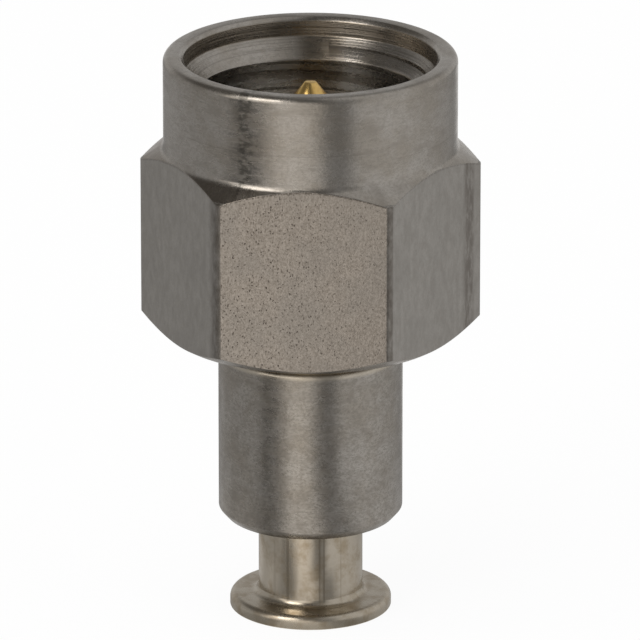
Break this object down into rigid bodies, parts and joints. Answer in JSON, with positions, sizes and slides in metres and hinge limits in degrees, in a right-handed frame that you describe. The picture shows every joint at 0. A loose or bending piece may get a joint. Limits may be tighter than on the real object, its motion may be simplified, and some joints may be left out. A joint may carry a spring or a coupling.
{
  "type": "sma plug connector",
  "caption": "Straight SMA coaxial plug with a threaded hex coupling nut, a captive pin and a loose flanged crimp ferrule for thin cable.",
  "frame": {"origin": "centre of the underside of the crimp ferrule's flange, on which the connector stands", "axes": "+Z along the connector's axis, from the cable end up to the mouth of the coupling nut; one flat of the hexagon faces -Y"},
  "size_m": [0.0092, 0.008, 0.0155],
  "materials": {
    "nut_steel": "passivated stainless steel, satin turned and milled",
    "body_steel": "passivated stainless steel, fine turned",
    "ring_bronze": "plain beryllium copper",
    "gasket_rubber": "red-brown silicone rubber",
    "insulator_white": "white fluoropolymer",
    "contact_gold": "gold plated, polished",
    "stem_nickel": "nickel plated, knurled",
    "ferrule_nickel": "nickel plated, bright with light stains"
  },
  "bodies": {
    "body": {"body_shell": "body_steel", "front_insulator": "insulator_white", "rear_insulator": "insulator_white", "center_contact": "contact_gold", "crimp_stem": "stem_nickel", "interface_gasket": "gasket_rubber"},
    "ring": {"retaining_ring": "ring_bronze"},
    "nut": {"coupling_nut": "nut_steel"},
    "ferrule": {"crimp_ferrule": "ferrule_nickel"}
  },
  "joints": [
    {"name": "ring_float", "type": "slide", "parent": "body", "child": "ring", "axis": [0, 0, 1], "range_m": [0, 0.00015]},
    {"name": "nut_turn", "type": "hinge", "parent": "ring", "child": "nut", "pos_m": [0, 0, 0.0104], "axis": [0, 0, 1], "continuous": true},
    {"name": "ferrule_slide", "type": "slide", "parent": "body", "child": "ferrule", "axis": [0, 0, -1], "range_m": [0, 0.0025]}
  ]
}
